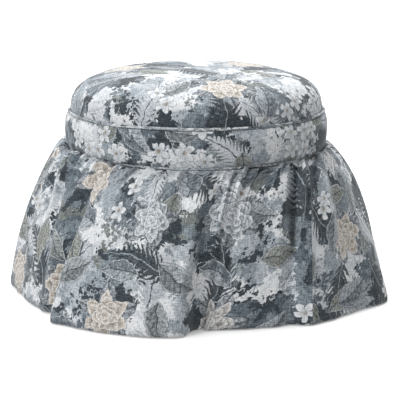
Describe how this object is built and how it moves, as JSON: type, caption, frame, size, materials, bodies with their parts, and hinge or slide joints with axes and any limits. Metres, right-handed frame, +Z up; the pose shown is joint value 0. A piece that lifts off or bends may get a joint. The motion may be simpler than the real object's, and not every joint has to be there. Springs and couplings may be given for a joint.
{
  "type": "vanity stool",
  "caption": "Low round vanity stool with a domed cushion, a padded band between piped seams and a gathered floor-length skirt over a four-legged hardwood frame.",
  "frame": {"origin": "on the floor under the stool, at the middle of its outline seen from above, which is the seat's own axis to within 1 mm", "axes": "+Z up, -Y towards the front that the picture shows, +X to the right seen from there"},
  "size_m": [0.7969, 0.905, 0.47],
  "materials": {
    "printed_cloth": "woven botanical print in greys, white and beige",
    "lining_cloth": "plain weave",
    "dust_cloth": "non-woven cambric",
    "foam": "cut foam",
    "batting": "soft fibre",
    "hardwood": "planed, unfinished",
    "plywood": "sanded",
    "cardboard": "matt board",
    "zinc_steel": "zinc plated",
    "nylon": "moulded"
  },
  "bodies": {
    "root": {"leg_1": "hardwood", "leg_2": "hardwood", "leg_3": "hardwood", "leg_4": "hardwood", "glide_1": "nylon", "glide_2": "nylon", "glide_3": "nylon", "glide_4": "nylon", "rail_1": "hardwood", "rail_2": "hardwood", "rail_3": "hardwood", "rail_4": "hardwood", "corner_block_1": "hardwood", "corner_block_2": "hardwood", "corner_block_3": "hardwood", "corner_block_4": "hardwood", "hanger_bolt_1": "zinc_steel", "hanger_bolt_2": "zinc_steel", "hanger_bolt_3": "zinc_steel", "hanger_bolt_4": "zinc_steel", "hanger_nut_1": "zinc_steel", "hanger_nut_2": "zinc_steel", "hanger_nut_3": "zinc_steel", "hanger_nut_4": "zinc_steel", "seat_screw_1": "zinc_steel", "seat_screw_2": "zinc_steel", "seat_screw_3": "zinc_steel", "seat_screw_4": "zinc_steel", "base_ring": "plywood", "seat_deck": "plywood", "spacer_block_1": "hardwood", "spacer_block_2": "hardwood", "spacer_block_3": "hardwood", "spacer_block_4": "hardwood", "spacer_block_5": "hardwood", "spacer_block_6": "hardwood", "deck_screw_1": "zinc_steel", "deck_screw_2": "zinc_steel", "deck_screw_3": "zinc_steel", "deck_screw_4": "zinc_steel", "deck_screw_5": "zinc_steel", "deck_screw_6": "zinc_steel", "drum_wall": "cardboard", "dust_cover": "dust_cloth", "band_padding": "batting", "band_cover": "printed_cloth", "crown_cover": "printed_cloth", "batting_wrap": "batting", "foam_core": "foam", "upper_welt": "printed_cloth", "lower_welt": "printed_cloth", "skirt_panel_front": "printed_cloth", "skirt_panel_back": "printed_cloth", "skirt_lining": "lining_cloth", "tack_strip": "cardboard"}
  },
  "joints": []
}
